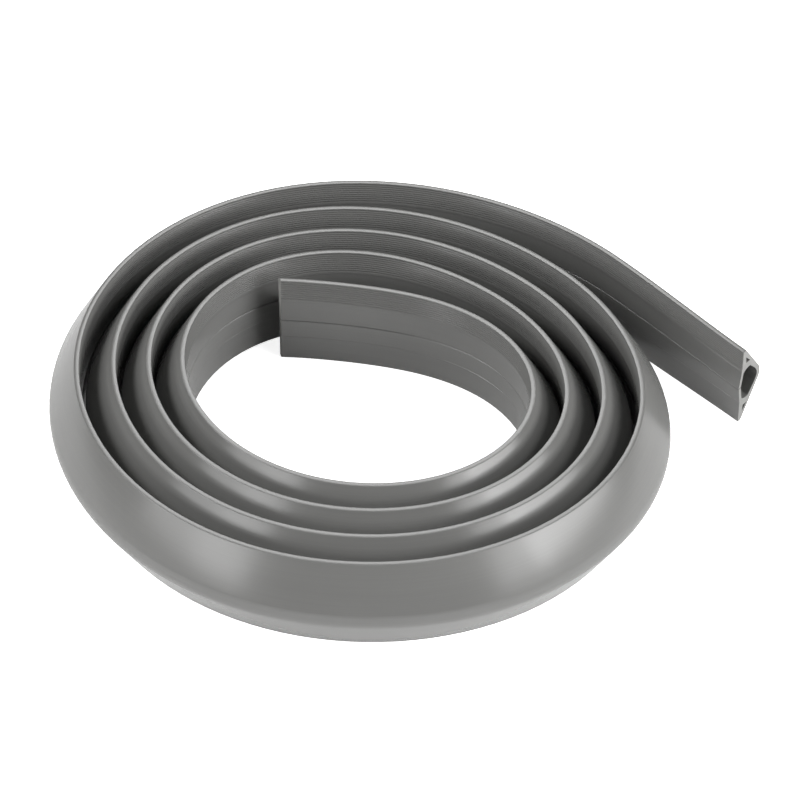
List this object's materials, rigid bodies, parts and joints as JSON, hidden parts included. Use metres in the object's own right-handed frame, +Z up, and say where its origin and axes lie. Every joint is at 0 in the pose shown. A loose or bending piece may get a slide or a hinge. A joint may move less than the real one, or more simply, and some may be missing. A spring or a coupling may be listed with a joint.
{
  "type": "floor cable channel",
  "caption": "Hollow soft PVC floor cable channel with a slit flat base and a low domed top, wound on edge into an open coil with a straight tail.",
  "frame": {"origin": "bottom centre of the coil's box, on the floor that its lower edge stands on", "axes": "+Z up, across the strip's width; +X along the straight tail, towards its cut end; -Y the way the tail's flat base faces"},
  "size_m": [0.3158, 0.3152, 0.05],
  "materials": {
    "soft_pvc": "satin grey soft PVC, matt on the base with fine lengthwise grooves"
  },
  "bodies": {
    "root": {"cable_channel": "soft_pvc"}
  },
  "joints": []
}
